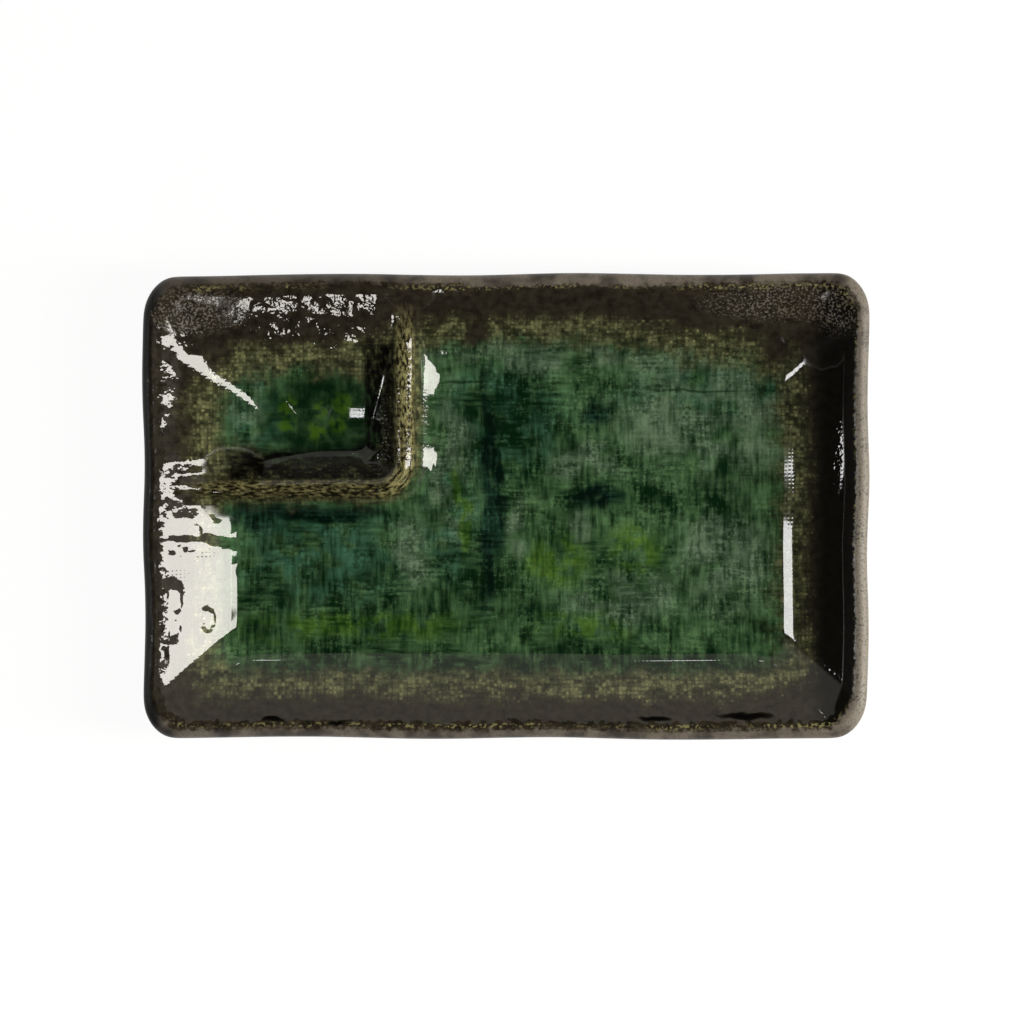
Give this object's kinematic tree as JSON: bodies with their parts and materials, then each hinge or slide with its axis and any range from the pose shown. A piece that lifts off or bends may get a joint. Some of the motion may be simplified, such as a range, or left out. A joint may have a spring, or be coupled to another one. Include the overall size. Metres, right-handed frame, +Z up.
{
  "type": "dip plate",
  "caption": "Rectangular glazed stoneware plate with sloping walls and an L-shaped ridge that fences off a corner dip well, for serving food with a sauce.",
  "frame": {"origin": "on the table, under the middle of the plate", "axes": "+X along the long side, +Y along the short side towards the wall that the dip well meets, +Z up; the dip well lies at -X and +Y"},
  "size_m": [0.221, 0.1418, 0.026],
  "materials": {
    "clay": "bare fired stoneware, matt and gritty",
    "green_glaze": "glossy copper-green glaze over a pressed cloth texture",
    "olive_glaze": "glossy thin olive glaze with brown speckle",
    "brown_glaze": "dark brown glaze, glossy in the well and satin, speckled and pitted at the rim"
  },
  "bodies": {
    "root": {"plate_body": "clay", "divider_wall": "clay", "foot_ring": "clay", "main_well_glaze": "green_glaze", "dip_well_glaze": "green_glaze", "divider_glaze": "olive_glaze", "wall_glaze": "brown_glaze", "base_glaze": "brown_glaze"}
  },
  "joints": []
}
